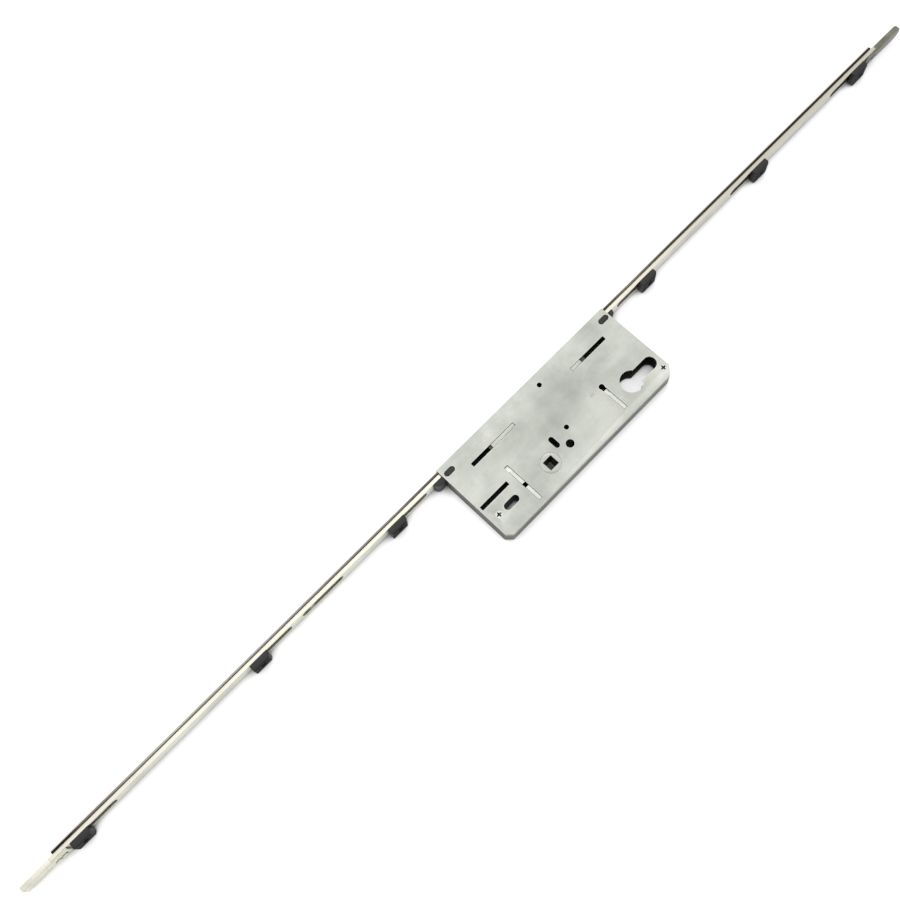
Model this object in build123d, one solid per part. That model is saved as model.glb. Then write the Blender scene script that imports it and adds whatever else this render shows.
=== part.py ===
from build123d import *
import math
import os

os.makedirs("parts", exist_ok=True)

# The origin is the middle of the handle spindle, half way through the case. X runs along the
# faceplate from the handle end to the cylinder end, Y points out of the faceplate, and Z is square
# to the case plates. In use the handle is above the cylinder, so the pieces on the -X side are
# named top and those on the +X side bottom. Everything is in millimetres.

# Case: two steel plates joined by the tray's rim
case_thickness = 16.0
plate_thickness = 1.25
backset = 55.0
spindle_to_back = 16.9
handle_slot_to_end = 20.0
cylinder_to_end = 28.3
top_corner_cut = 4.5
bottom_corner_cut = 6.0
bend_radius = 0.9
running_gap = 0.1

# Handle and cylinder openings
spindle_square = 8.1
hub_radius = 7.8
hub_play = 0.05
hub_recess = 0.1
cylinder_distance = 85.0
cylinder_radius = 8.6
cylinder_tail_width = 10.2
cylinder_tail_distance = 19.5
cylinder_screw_distance = 16.5
cylinder_screw_hole_radius = 2.75
cylinder_screw_sink = 1.5
cam_radius = 15.3
handle_hole_x = 20.0
handle_hole_radius = 3.1
handle_slot_x = -40.0
handle_slot_length = 13.0
handle_slot_width = 5.6

# Guide slots and small holes pressed through the cover
guide_slot_width = 3.2
slot_end_play = 0.2
slot_spare_length = 0.3
top_lug_length = 22.6
top_lug_end = 3.2
top_lug_from_rod = 10.5
bottom_lug_length = 9.6
bottom_lug_start = 62.2
bottom_lug_from_rod = 11.9
bottom_slot_end = 97.2
spare_slot_length = 26.6
spare_slot_from_handle_slot = 4.8
spare_slot_y = 11.9
front_hole_x = 37.6
front_hole_from_face = 8.7
front_hole_radius = 1.8
side_hole_place = (27.3, 10.2)
side_hole_radius = 1.8
window_place = (12.8, 8.7)
window_length = 9.8
window_width = 4.0

# Gearing: the follower drives the bottom rack, and a pinion turns that round for the top rack
tooth_module = 1.25
pressure_angle = 25.0
tip_share = 0.85
root_share = 1.05
backlash = 0.22
handle_turn = 45.0
pinion_teeth = 10
pinion_x = 28.0
pinion_bore_radius = 1.92
post_radius = 1.86
pinion_hub_radius = 3.4
gear_width = 6.0
rack_width = 5.0
rack_bar_thickness = 4.875
top_rack_wall = 3.0875
shoulder_radius = 9.4
rack_foot_length = 6.0
riser_length = 18.0
riser_overlap = 4.3
top_block_length = 30.0
top_block_overlap = 2.4
block_under_lug = 2.3
tenon_length = 6.0
tenon_height = 5.0
tenon_margin = 2.0

# Faceplate and drive rods
faceplate_thickness = 2.5
top_end_past_clip = 19.8
bottom_end_past_clip = 20.8
faceplate_corner_radius = 1.5
rod_thickness = 3.0
rod_height = 11.0
rod_end_past_block = 5.0
rod_slot_height = 7.2
rod_slot_play = 0.4
slot_spare_travel = 4.4
middle_slot_start = -158.0
middle_slot_length = 38.6

# Guide clips behind the faceplate
top_clip_places = (-106.3, -238.0, -397.2)
bottom_clip_places = (156.6, 285.6, 405.7)
clip_length = 15.5
clip_depth = 5.0
clip_side_gap = 0.35
clip_corner_cut = 1.8
clip_corner_radius = 0.6
neck_length = 14.0
neck_side_play = 0.2
peg_radius = 1.22
peg_play = 0.03
peg_offset = 4.7
fixing_hole_radius = 2.25
countersink_radius = 4.2

# Moulded guides where the rods leave the case
top_peg_from_end = 6.3
bottom_peg_from_end = 5.8
guide_peg_length = 8.8
guide_peg_width = 4.2
guide_peg_from_face = 7.5
guide_peg_play = 0.1
guide_depth = 4.2
top_guide_reach = 8.5
bottom_guide_reach = 5.0
guide_reach_in = 5.0
guide_bulge_radius = 3.6
guide_neck_length = 8.0
guide_screw_radius = 1.9
guide_screw_head_radius = 3.6
guide_screw_length = 9.8
guide_screw_from_peg = 3.5

# Shootbolts riveted behind the outer rod ends
bolt_start_past_clip = 10.5
bolt_lap = 13.0
top_bolt_reach = 28.6
bottom_bolt_reach = 33.5
bolt_thickness = 4.8
bolt_tip_chamfer = 0.8
bolt_corner_radius = 1.5
bolt_rivet_radius = 1.5
bolt_rivet_head_radius = 2.4
bolt_rivet_head_height = 0.7
bolt_rivet_from_start = 4.6
bolt_rivet_spacing = 5.2

# Lock plate: the cylinder's cam pushes it towards the faceplate to block the follower
lock_travel = 2.5
lock_thickness = 1.5
lock_slot_x = -23.9
lock_slot_back = -12.9
lock_slot_front = 21.2
keyhole_from_cylinder = 17.8
keyhole_back = -10.6
keyhole_round_y = 12.7
keyhole_round_radius = 2.1
keyhole_lug_length = 16.2
lock_lug_length = 13.1
lock_square_hole = 3.4
lock_arm_margin = 4.9
lock_bar_width = 3.9
lock_back_gap = 0.35
lock_tooth_width = 5.0
lock_tooth_gap = 0.2
lock_disc_radius = 10.3
lock_disc_thickness = 2.2
lock_relief_gap = 0.3
lock_notch_play = 0.2
lock_notch_floor_gap = 0.1
lock_to_rack_gap = 1.2
tab_width = 3.5
tab_reach = 9.15
tab_front_y = 6.1
tab_back_y = -10.0
leg_width = 6.0

# Friction pad that stops the rods from dropping
post_from_keyhole = 9.5
post_side = 6.0
post_tenon_radius = 1.5
pad_length = 8.0
pad_thickness = 3.6
pad_height = 9.0
pad_gap = 0.05
pad_stem_radius = 1.0
pad_stem_play = 0.05
spring_wire_radius = 0.35
spring_coil_radius = 1.85
spring_turns = 4
spring_length = 6.3

# Pillars and countersunk cover screws
top_pillar_from_end = 7.6
top_pillar_y = 0.2
bottom_pillar_from_end = 4.7
bottom_pillar_y = -9.4
pillar_radius = 2.6
pillar_tenon_radius = 1.8
cover_screw_radius = 1.5
cover_screw_head_radius = 2.8
cover_screw_length = 9.0
screw_play = 0.05
recess_length = 3.2
recess_width = 0.7
recess_depth = 0.9

# Planes of the case
half_case = case_thickness / 2
half_inside = half_case - plate_thickness
slide_top = half_inside - running_gap
lug_top = half_case - 4 * running_gap
case_back = -spindle_to_back
case_top_end = handle_slot_x - handle_slot_to_end
case_bottom_end = cylinder_distance + cylinder_to_end

# Planes of the strip, from the face inwards
faceplate_back = backset - faceplate_thickness
rod_front = faceplate_back - running_gap
rod_back = rod_front - rod_thickness
clip_front = rod_back - running_gap
clip_back = clip_front - clip_depth
guide_back = clip_front - guide_depth
rim_front = guide_back - 3 * running_gap
peg_y = backset - guide_peg_from_face

# Pitch lines of the gear train
flank_slope = math.tan(math.radians(pressure_angle))
tooth_tip = tip_share * tooth_module
tooth_root = root_share * tooth_module
tooth_pitch = math.pi * tooth_module
tooth_thickness = (tooth_pitch - backlash) / 2
pinion_radius = pinion_teeth * tooth_module / 2
top_rack_root = rod_back - top_rack_wall
top_rack_line = top_rack_root - tooth_root
pinion_y = top_rack_line - pinion_radius
outer_rack_line = pinion_y - pinion_radius
outer_rack_root = outer_rack_line - tooth_root
inner_rack_root = outer_rack_root - rack_bar_thickness
sector_radius = inner_rack_root - tooth_root
rod_travel = sector_radius * math.radians(handle_turn)
travel_teeth = math.ceil(rod_travel / tooth_pitch - 0.01)

# Places along the strip
lug_width = guide_slot_width - 3 * running_gap
top_lug_start = top_lug_end - top_lug_length
bottom_lug_end = bottom_lug_start + bottom_lug_length
middle_slot_end = middle_slot_start - middle_slot_length
middle_screw_x = (middle_slot_end + middle_slot_start - rod_travel) / 2
top_lug_y = rod_back - top_lug_from_rod
bottom_lug_y = rod_back - bottom_lug_from_rod
top_block = (top_lug_start - top_block_overlap, top_lug_start - top_block_overlap + top_block_length)
bottom_block = (bottom_lug_start - riser_overlap, bottom_lug_start - riser_overlap + riser_length)
guide_peg_places = (case_top_end + top_peg_from_end, case_bottom_end - bottom_peg_from_end)
guide_screw_places = (
    guide_peg_places[0] - guide_screw_from_peg, guide_peg_places[1] + guide_screw_from_peg,
)
cylinder_screw_x = cylinder_distance + cylinder_screw_distance
faceplate_top_end = top_clip_places[-1] - top_end_past_clip
faceplate_bottom_end = bottom_clip_places[-1] + bottom_end_past_clip
top_bolt_start = top_clip_places[-1] - bolt_start_past_clip
bottom_bolt_start = bottom_clip_places[-1] + bolt_start_past_clip
top_bolt_tip = faceplate_top_end - top_bolt_reach
bottom_bolt_tip = faceplate_bottom_end + bottom_bolt_reach
keyhole_x = cylinder_distance - keyhole_from_cylinder
spare_slot_x = handle_slot_x - spare_slot_from_handle_slot
spring_post_x = keyhole_x - post_from_keyhole
pad_back = inner_rack_root - pad_gap - pad_thickness
spring_post_y = pad_back - spring_length - post_side / 2
pillar_places = (
    (case_top_end + top_pillar_from_end, top_pillar_y),
    (case_bottom_end - bottom_pillar_from_end, bottom_pillar_y),
)


# Helpers

def rectangle(x_from, x_to, y_from, y_to):
    """A flat rectangle between four lines."""
    return Pos((x_from + x_to) / 2, (y_from + y_to) / 2) * Rectangle(x_to - x_from, y_to - y_from)


def slot(x_from, x_to, height, y=0.0):
    """A flat slot with round ends, along X."""
    return Pos((x_from + x_to) / 2, y) * SlotOverall(x_to - x_from, height)


def upright_slot(x, y_from, y_to, width):
    """A flat slot with round ends, along Y."""
    return Pos(x, (y_from + y_to) / 2) * SlotOverall(y_to - y_from, width, rotation=90)


def pressed(flat, z_from, z_to):
    """A flat shape of the case's plane, given its thickness along Z."""
    return extrude(Pos(0, 0, z_from) * flat, z_to - z_from)


def strip(flat, y_from, y_to):
    """A flat shape of the faceplate's plane, whose own Y is the case's Z, given its thickness."""
    return extrude(Plane.XZ.offset(-y_to) * flat, y_to - y_from)


def turned(profile):
    """A round piece along Z from its half outline of (radius, height) points."""
    return revolve(Plane.XZ * make_face(Polyline(*profile, close=True)), Axis.Z)


def countersunk_screw(radius, head_radius, length):
    """A screw whose head's top is at the origin, with its shank down -Z and a cross recess."""
    head_depth = head_radius - radius
    shape = turned([(0, 0), (head_radius, 0), (radius, -head_depth), (radius, -length), (0, -length)])
    cross = Rectangle(recess_length, recess_width) + Rectangle(recess_width, recess_length)
    return shape - pressed(cross, -recess_depth, recess_depth)


def countersink(radius, head_radius, length):
    """What is cut away for such a screw, with play all round."""
    head_depth = head_radius - radius
    return turned([
        (0, 1), (head_radius + screw_play, 1), (head_radius + screw_play, 0),
        (radius + screw_play, -head_depth), (radius + screw_play, -length), (0, -length),
    ])


def facing(x):
    """The place of something that goes in through the faceplate's front."""
    return Location((x, backset, 0), (-90, 0, 0))


# Gear teeth

def involute(angle):
    return math.tan(angle) - angle


def gear_outline(pitch_radius, tooth_angles, steps=4):
    """Points of a row of gear teeth, whose flanks follow the involute of their base circle."""
    base_radius = pitch_radius * math.cos(math.radians(pressure_angle))
    root = pitch_radius - tooth_root
    tip = pitch_radius + tooth_tip
    flank_start = max(base_radius, root)
    radii = [root] + [flank_start + (tip - flank_start) * step / steps for step in range(1, steps + 1)]
    half_angles = []
    for radius in radii:
        roll = math.acos(min(1.0, base_radius / radius))
        half_at_pitch = tooth_thickness / 2 / pitch_radius
        half_angles.append(half_at_pitch + involute(math.radians(pressure_angle)) - involute(roll))
    flank = list(zip(radii, half_angles))
    points = []
    for middle in tooth_angles:
        tooth = [(radius, middle - half) for radius, half in flank]
        tooth += [(radius, middle + half) for radius, half in reversed(flank)]
        points += [(radius * math.cos(angle), radius * math.sin(angle)) for radius, angle in tooth]
    return points


def rack_outline(middles, pitch_line, direction):
    """Points of a row of straight rack teeth that point along direction times Y."""
    half_tip = tooth_thickness / 2 - tooth_tip * flank_slope
    half_root = tooth_thickness / 2 + tooth_root * flank_slope
    tip = pitch_line + direction * tooth_tip
    root = pitch_line - direction * tooth_root
    points = []
    for middle in middles:
        points += [(middle - half_root, root), (middle - half_tip, tip)]
        points += [(middle + half_tip, tip), (middle + half_root, root)]
    return points


# Case

def case_outline(wall=0.0):
    """The case from the cover's side; with a wall it is the space inside, open to the front."""
    left = case_top_end + wall
    right = case_bottom_end - wall
    back = case_back + wall
    corner_share = 2 - math.sqrt(2)
    top_cut = top_corner_cut - wall * corner_share
    bottom_cut = bottom_corner_cut - wall * corner_share
    front = backset + wall
    return make_face(Polyline(
        (left, front),
        (left, back + top_cut),
        (left + top_cut, back),
        (right - bottom_cut, back),
        (right, back + bottom_cut),
        (right, front),
        close=True,
    ))


def lug_slots():
    """The slots that the two racks' ribs run in."""
    half = guide_slot_width / 2
    slots = rectangle(
        top_lug_start - rod_travel - slot_spare_length, top_lug_end + slot_end_play,
        top_lug_y - half, top_lug_y + half,
    )
    bottom_end = max(bottom_slot_end, bottom_lug_end + rod_travel + slot_spare_length)
    return slots + rectangle(
        bottom_lug_start - slot_end_play, bottom_end, bottom_lug_y - half, bottom_lug_y + half,
    )


def shared_openings():
    """What goes through both plates: spindle, cylinder, handle screws, rack ribs and pegs."""
    openings = Circle(hub_radius + hub_play)
    openings += Pos(cylinder_distance, 0) * Circle(cylinder_radius)
    tail_middle = cylinder_distance + cylinder_tail_distance / 2
    openings += Pos(tail_middle, 0) * SlotCenterToCenter(cylinder_tail_distance, cylinder_tail_width)
    openings += Pos(handle_hole_x, 0) * Circle(handle_hole_radius)
    openings += Pos(handle_slot_x, 0) * SlotOverall(handle_slot_length, handle_slot_width)
    openings += Pos(spring_post_x, spring_post_y) * Circle(post_tenon_radius)
    peg_hole_length = guide_peg_length + 2 * guide_peg_play
    peg_hole_width = guide_peg_width + 2 * guide_peg_play
    for x in guide_peg_places:
        openings += Pos(x, peg_y) * SlotOverall(peg_hole_length, peg_hole_width)
    return openings + lug_slots()


def make_case_tray():
    """A pressed tray: bent up from its floor at the back and both ends."""
    body = pressed(case_outline(), -half_case, half_inside)
    bends = body.edges().group_by(Axis.Z)[0].filter_by(lambda edge: edge.center().Y < backset - 1)
    body = fillet(bends, bend_radius)
    body -= pressed(case_outline(plate_thickness), -half_inside, half_case)
    above_rim = rectangle(case_top_end - 1, case_bottom_end + 1, rim_front, backset + 1)
    body -= pressed(above_rim, -half_inside, half_case)
    floor_holes = shared_openings()
    floor_holes += Pos(pinion_x, pinion_y) * Circle(post_radius)
    for place in pillar_places:
        floor_holes += Pos(*place) * Circle(pillar_tenon_radius)
    return body - pressed(floor_holes, -half_case - 1, -half_inside + 1)


def make_case_cover():
    """A flat plate with the slots and holes that the photograph shows."""
    holes = shared_openings()
    half = guide_slot_width / 2
    holes += Pos(spare_slot_x, spare_slot_y) * Rectangle(spare_slot_length, guide_slot_width)
    holes += rectangle(lock_slot_x - half, lock_slot_x + half, lock_slot_back, lock_slot_front)
    holes += rectangle(keyhole_x - half, keyhole_x + half, keyhole_back, keyhole_round_y)
    holes += Pos(keyhole_x, keyhole_round_y) * Circle(keyhole_round_radius)
    holes += Pos(front_hole_x, backset - front_hole_from_face) * Circle(front_hole_radius)
    holes += Pos(*side_hole_place) * Circle(side_hole_radius)
    window_x, window_y = window_place
    half_window = window_length / 2
    holes += upright_slot(window_x, window_y - half_window, window_y + half_window, window_width)
    body = pressed(case_outline() - holes, half_inside, half_case)
    screw_hole = countersink(cover_screw_radius, cover_screw_head_radius, case_thickness)
    for x, y in pillar_places:
        body -= Pos(x, y, half_case) * screw_hole
    return body


def make_case_pillars():
    """Turned pillars, each with a tenon staked in the tray and a blind bore for its screw."""
    bore_radius = cover_screw_radius + screw_play
    bore_floor = half_case - cover_screw_length - 0.5
    profile = [
        (0, -half_case), (pillar_tenon_radius, -half_case), (pillar_tenon_radius, -half_inside),
        (pillar_radius, -half_inside), (pillar_radius, half_inside), (bore_radius, half_inside),
        (bore_radius, bore_floor), (0, bore_floor),
    ]
    return Compound(children=[Pos(x, y) * turned(profile) for x, y in pillar_places])


def make_cover_screws():
    screw = countersunk_screw(cover_screw_radius, cover_screw_head_radius, cover_screw_length)
    return Compound(children=[Pos(x, y, half_case) * screw for x, y in pillar_places])


# Faceplate and rods

def make_faceplate():
    """A flat strip with countersunk holes for its own screws, the door's and the cylinder's."""
    middle = (faceplate_top_end + faceplate_bottom_end) / 2
    outline = RectangleRounded(
        faceplate_bottom_end - faceplate_top_end, 2 * half_inside, faceplate_corner_radius
    )
    outline = Pos(middle, 0) * outline
    for x in top_clip_places + bottom_clip_places:
        for side in (-1, 1):
            outline -= Pos(x + side * peg_offset, 0) * Circle(peg_radius + peg_play)
    body = strip(outline, faceplate_back, backset)
    depth = 2 * faceplate_thickness
    fixing_hole = countersink(fixing_hole_radius - screw_play, countersink_radius - screw_play, depth)
    for x in top_clip_places + bottom_clip_places + (middle_screw_x,):
        body -= facing(x) * fixing_hole
    guide_hole = countersink(guide_screw_radius, guide_screw_head_radius, depth)
    for x in guide_screw_places:
        body -= facing(x) * guide_hole
    hole_radius = cylinder_screw_hole_radius - screw_play
    cylinder_hole = countersink(hole_radius, hole_radius + cylinder_screw_sink, depth)
    return body - facing(cylinder_screw_x) * cylinder_hole


def make_rod(inner_end, bolt_start, outward, clip_places, other_slots, tenons):
    """A flat drive rod, slotted round each clip's neck so that it can travel outwards."""
    outer_end = bolt_start + outward * bolt_lap
    flat = rectangle(*sorted((inner_end, outer_end)), -rod_height / 2, rod_height / 2)
    travel = rod_travel + slot_spare_travel
    for x in clip_places:
        first = x + outward * (neck_length / 2 + rod_slot_play)
        last = x - outward * (neck_length / 2 + travel)
        flat -= slot(*sorted((first, last)), rod_slot_height)
    for x_from, x_to in other_slots:
        flat -= slot(x_from, x_to, rod_slot_height)
    for x_from, x_to in tenons:
        flat -= rectangle(x_from, x_to, -tenon_height / 2, tenon_height / 2)
    for number in (0, 1):
        x = bolt_start + outward * (bolt_rivet_from_start + number * bolt_rivet_spacing)
        flat -= Pos(x, 0) * Circle(bolt_rivet_radius)
    return strip(flat, rod_back, rod_front)


def block_tenons(block):
    """Two tenons, one near each end of a rack's block."""
    first = block[0] + tenon_margin
    last = block[1] - tenon_margin
    return (first, first + tenon_length), (last - tenon_length, last)


def make_top_rod():
    """The top rod has one more slot, which clears a fixing screw between its first two clips."""
    half_neck = guide_neck_length / 2
    guide_slot = (
        guide_screw_places[0] - half_neck - rod_slot_play,
        guide_screw_places[0] + half_neck + rod_travel + slot_spare_travel,
    )
    return make_rod(
        inner_end=top_block[1] + rod_end_past_block,
        bolt_start=top_bolt_start,
        outward=-1,
        clip_places=top_clip_places,
        other_slots=(guide_slot, (middle_slot_end, middle_slot_start)),
        tenons=block_tenons(top_block),
    )


def make_bottom_rod():
    """The bottom rod's slot round its end guide also clears the cylinder's screw."""
    guide_slot = (
        cylinder_screw_x - 2 * cylinder_screw_hole_radius - rod_travel,
        guide_screw_places[1] + guide_neck_length / 2 + rod_slot_play,
    )
    return make_rod(
        inner_end=bottom_block[0] - rod_end_past_block,
        bolt_start=bottom_bolt_start,
        outward=1,
        clip_places=bottom_clip_places,
        other_slots=(guide_slot,),
        tenons=block_tenons(bottom_block),
    )


def neck(x, length):
    """The part of a clip or guide that stands in the rod's slot and meets the faceplate."""
    flat = slot(x - length / 2, x + length / 2, rod_slot_height - 2 * neck_side_play)
    return strip(flat, clip_front, faceplate_back)


def back_corner(body, side):
    """The upright edge at the back of a moulding, at its end on the given side."""
    upright = body.edges().filter_by(Axis.Z)
    back_edges = [edge for edge in upright if edge.center().Y < body.center().Y]
    return max(back_edges, key=lambda edge: side * edge.center().X)


def make_clip(x):
    """A moulded clip: a block behind the rod, a neck through its slot and two pegs in the faceplate."""
    half = clip_length / 2
    top = half_inside - clip_side_gap
    body = pressed(rectangle(x - half, x + half, clip_back, clip_front), -top, top)
    body = chamfer(back_corner(body, 1), clip_corner_cut)
    body = fillet(back_corner(body, -1), clip_corner_radius)
    body += neck(x, neck_length)
    pegs = Pos(x - peg_offset, 0) * Circle(peg_radius) + Pos(x + peg_offset, 0) * Circle(peg_radius)
    body += strip(pegs, faceplate_back, backset)
    return body - strip(Pos(x, 0) * Circle(fixing_hole_radius), clip_back - 1, backset + 1)


def make_end_guide(x, outward, case_end, reach):
    """A moulded guide round the rod at the end of the case: outside it only the back reaches on."""
    outer = case_end + outward * reach
    inner = x - outward * guide_reach_in
    low, high = sorted((outer, inner))
    body = pressed(rectangle(low, high, guide_back, faceplate_back), -slide_top, slide_top)
    body = fillet(back_corner(body, outward), min(guide_bulge_radius, 0.9 * guide_depth))
    channel = rod_height / 2 + running_gap
    body -= strip(rectangle(low - 1, high + 1, -channel, channel), clip_front, faceplate_back + 1)
    outside = rectangle(*sorted((case_end, outer + outward)), clip_front, faceplate_back + 1)
    body -= pressed(outside, -half_case, half_case)
    pegs = Pos(x, peg_y) * SlotOverall(guide_peg_length, guide_peg_width)
    for z_from, z_to in ((channel, half_case), (-half_case, -channel)):
        body += pressed(pegs, z_from, z_to)
    screw_x = x + outward * guide_screw_from_peg
    body += neck(screw_x, guide_neck_length)
    # The bottom guide's inner end is also notched round the cylinder's screw
    screw_holes = Pos(screw_x, 0) * Circle(guide_screw_radius + screw_play)
    screw_holes += Pos(cylinder_screw_x, 0) * Circle(cylinder_screw_hole_radius)
    return body - strip(screw_holes, guide_back - 1, backset)


def make_faceplate_screws():
    screw = countersunk_screw(guide_screw_radius, guide_screw_head_radius, guide_screw_length)
    return Compound(children=[facing(x) * screw for x in guide_screw_places])


def rivet_places(start, outward):
    first = start + outward * bolt_rivet_from_start
    return first, first + outward * bolt_rivet_spacing


def squared_bar(x_from, x_to):
    """A bar as high as the rod whose corners are only eased."""
    flat = RectangleRounded(x_to - x_from, rod_height, bolt_corner_radius)
    return Pos((x_from + x_to) / 2, 0) * flat


def round_bar(x_from, x_to):
    """A bar as high as the rod with round ends."""
    return slot(x_from, x_to, rod_height)


def make_shootbolt(start, tip, outward, bar):
    """The locking end of a rod: a thin lap behind the rod, then its full thickness to the tip."""
    back = rod_front - bolt_thickness
    body = strip(bar(*sorted((start, tip))), back, rod_front)
    round_edges = body.edges().filter_by(GeomType.CIRCLE)
    tip_edges = [edge for edge in round_edges if outward * (edge.center().X - start) > bolt_lap]
    body = chamfer(tip_edges, bolt_tip_chamfer)
    shoulder = start + outward * bolt_lap
    lap = rectangle(*sorted((start - outward, shoulder)), -rod_height, rod_height)
    body -= strip(lap, rod_back, rod_front + 1)
    for x in rivet_places(start, outward):
        body -= strip(Pos(x, 0) * Circle(bolt_rivet_radius), back - 1, rod_front + 1)
    return body


def make_shootbolt_rivets(start, outward):
    """Turned rivets with a domed head behind the lap, flush with the rod's front."""
    half_height = bolt_rivet_head_height / 2
    profile = [
        (0, 0), (bolt_rivet_radius, 0), (bolt_rivet_radius, -bolt_thickness),
        (bolt_rivet_head_radius, -bolt_thickness),
        (bolt_rivet_head_radius, -bolt_thickness - half_height),
        (bolt_rivet_head_radius - half_height, -bolt_thickness - bolt_rivet_head_height),
        (0, -bolt_thickness - bolt_rivet_head_height),
    ]
    rivet = turned(profile)
    places = rivet_places(start, outward)
    return Compound(children=[Location((x, rod_front, 0), (-90, 0, 0)) * rivet for x in places])


# Gear train

def make_spindle_follower():
    """The hub that the handle turns: toothed sector in the middle, notched locking disc on top."""
    tooth_angle = tooth_pitch / sector_radius
    tooth_angles = [math.pi / 2 + (number + 0.5) * tooth_angle for number in range(-2, travel_teeth + 2)]
    sector = make_face(Polyline((0, 0), *gear_outline(sector_radius, tooth_angles), close=True))
    body = pressed(sector, -gear_width / 2, gear_width / 2)
    disc_bottom = slide_top - lock_disc_thickness
    body += turned([
        (0, hub_recess - half_case), (hub_radius, hub_recess - half_case), (hub_radius, -slide_top),
        (shoulder_radius, -slide_top), (shoulder_radius, disc_bottom), (lock_disc_radius, disc_bottom),
        (lock_disc_radius, slide_top), (hub_radius, slide_top), (hub_radius, half_case - hub_recess),
        (0, half_case - hub_recess),
    ])
    half_notch = lock_tooth_width / 2 + lock_notch_play
    notch_floor = lock_travel + lock_notch_floor_gap - lock_disc_radius - lock_tooth_gap
    notch = rectangle(-half_notch, half_notch, -lock_disc_radius - 1, notch_floor)
    notches = notch + Rot(0, 0, handle_turn) * notch
    body -= pressed(notches, disc_bottom, slide_top)
    return body - pressed(Rectangle(spindle_square, spindle_square), -half_case, half_case)


def make_reversing_pinion():
    tooth_angles = [2 * math.pi * number / pinion_teeth - math.pi / 2 for number in range(pinion_teeth)]
    teeth = make_face(Polyline(*gear_outline(pinion_radius, tooth_angles), close=True))
    body = pressed(teeth, -gear_width / 2, gear_width / 2)
    body += pressed(Circle(pinion_hub_radius), -slide_top, slide_top)
    body -= pressed(Circle(pinion_bore_radius), -half_case, half_case)
    return Pos(pinion_x, pinion_y) * body


def make_pinion_post():
    return pressed(Pos(pinion_x, pinion_y) * Circle(post_radius), -half_case, half_inside)


def add_rod_seat(body, block, block_back, lug_from, lug_to, lug_y):
    """Gives a rack its sliding block, its tenons for the rod and its ribs for the guide slots."""
    body += pressed(rectangle(*block, block_back, rod_back), -slide_top, slide_top)
    for x_from, x_to in block_tenons(block):
        flat = rectangle(x_from, x_to, -tenon_height / 2, tenon_height / 2)
        body += strip(flat, rod_back, rod_front)
    rib = rectangle(lug_from, lug_to, lug_y - lug_width / 2, lug_y + lug_width / 2)
    return body + pressed(rib, -lug_top, lug_top)


def make_bottom_rack():
    """Toothed on both sides: the follower drives its inner teeth, its outer teeth the pinion."""
    inner = [number * tooth_pitch for number in range(-travel_teeth - 2, 3)]
    outer = [pinion_x + (number + 0.5) * tooth_pitch for number in range(-travel_teeth - 2, 2)]
    far_end = inner[0] - tooth_pitch / 2
    body = make_face(Polyline(
        (far_end, inner_rack_root),
        *rack_outline(inner, sector_radius, -1),
        (bottom_block[1], inner_rack_root),
        (bottom_block[1], outer_rack_root),
        *reversed(rack_outline(outer, outer_rack_line, 1)),
        (far_end, outer_rack_root),
        close=True,
    ))
    body = pressed(body, -rack_width / 2, rack_width / 2)
    foot = rectangle(far_end, far_end + rack_foot_length, inner_rack_root, outer_rack_root)
    body += pressed(foot, -slide_top, slide_top)
    return add_rod_seat(
        body, bottom_block, inner_rack_root, bottom_lug_start, bottom_lug_end, bottom_lug_y
    )


def make_top_rack():
    """Driven by the pinion the other way, and tenoned into the top rod."""
    middles = [pinion_x + (number + 0.5) * tooth_pitch for number in range(-2, travel_teeth + 2)]
    far_end = middles[-1] + tooth_pitch / 2
    body = make_face(Polyline(
        (top_block[0], top_rack_root),
        *rack_outline(middles, top_rack_line, -1),
        (far_end, top_rack_root),
        (far_end, rod_back),
        (top_block[0], rod_back),
        close=True,
    ))
    body = pressed(body, -rack_width / 2, rack_width / 2)
    block_back = top_lug_y - block_under_lug
    return add_rod_seat(body, top_block, block_back, top_lug_start, top_lug_end, top_lug_y)


# Locking and friction parts

def make_lock_plate():
    """A pressed plate under the cover, with ribs in two slots, legs, drive tabs and a tooth."""
    low = slide_top - lock_thickness
    back = case_back + plate_thickness + lock_back_gap
    top_arm = (lock_slot_x - lock_arm_margin, lock_slot_x + lock_arm_margin)
    drive_end = cylinder_distance - math.sqrt(cam_radius ** 2 - (tab_front_y + lock_travel) ** 2)
    bottom_arm = (keyhole_x - lock_arm_margin - 1, drive_end)
    flat = rectangle(top_arm[0], bottom_arm[1], back, back + lock_bar_width)
    flat += rectangle(*top_arm, back, inner_rack_root - lock_travel - lock_to_rack_gap)
    flat += rectangle(*bottom_arm, back, tab_front_y + tab_width)
    flat -= Pos(0, -lock_travel) * Circle(lock_disc_radius + lock_relief_gap)
    half_tooth = lock_tooth_width / 2
    flat += rectangle(-half_tooth, half_tooth, back, -lock_disc_radius - lock_tooth_gap)
    square_y = lock_slot_back + slot_end_play + lock_lug_length + lock_square_hole / 2
    flat -= Pos(lock_slot_x, square_y) * Rectangle(guide_slot_width, lock_square_hole)
    body = pressed(flat, low, slide_top)

    half_lug = lug_width / 2
    first = lock_slot_back + slot_end_play
    second = square_y + lock_square_hole / 2
    third = keyhole_back + slot_end_play
    ribs = rectangle(lock_slot_x - half_lug, lock_slot_x + half_lug, first, first + lock_lug_length)
    ribs += rectangle(lock_slot_x - half_lug, lock_slot_x + half_lug, second, second + lock_lug_length)
    ribs += rectangle(keyhole_x - half_lug, keyhole_x + half_lug, third, third + keyhole_lug_length)
    body += pressed(ribs, slide_top, lug_top)

    tabs = rectangle(drive_end - tab_width, drive_end, tab_front_y, tab_front_y + lock_thickness)
    tabs += rectangle(drive_end - tab_width, drive_end, tab_back_y - lock_thickness, tab_back_y)
    body += pressed(tabs, low - tab_reach, low)
    legs = rectangle(top_arm[0], top_arm[0] + lock_thickness, back, back + leg_width)
    legs += rectangle(bottom_arm[0], bottom_arm[0] + lock_thickness, back, back + leg_width)
    return body + pressed(legs, -slide_top, low)


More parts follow.
